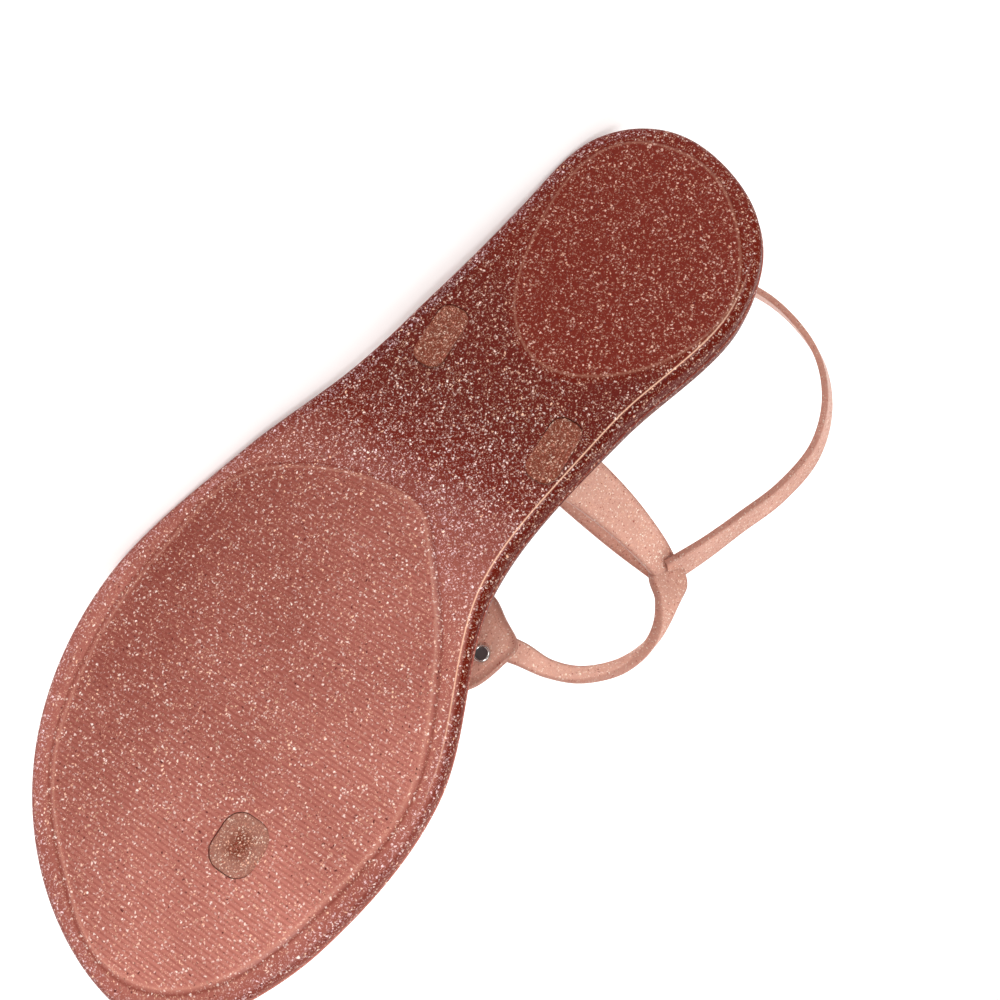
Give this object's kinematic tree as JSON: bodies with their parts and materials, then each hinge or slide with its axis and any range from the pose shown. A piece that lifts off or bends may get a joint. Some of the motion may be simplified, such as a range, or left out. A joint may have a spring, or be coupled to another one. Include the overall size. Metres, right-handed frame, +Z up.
{
  "type": "jelly sandal",
  "caption": "Left jelly thong sandal with a T-strap, a buckled ankle strap and a flat moulded sole, lying on its lateral side.",
  "frame": {"origin": "middle of the bounding box's underside, on the floor that the sandal lies on", "axes": "+X along the floor from the heel to the toe, +Y from the sole's underside towards the straps, +Z up, away from the floor"},
  "size_m": [0.2464, 0.0818, 0.104],
  "materials": {
    "sole_jelly": "gloss",
    "strap_jelly": "gloss",
    "pale_brass": "polished",
    "rivet_steel": "polished"
  },
  "bodies": {
    "root": {"sole": "sole_jelly", "upper": "strap_jelly", "buckle_frame": "pale_brass", "buckle_prong": "pale_brass", "buckle_tab": "strap_jelly", "rivet_buckle": "rivet_steel", "rivet_plate": "rivet_steel"}
  },
  "joints": []
}
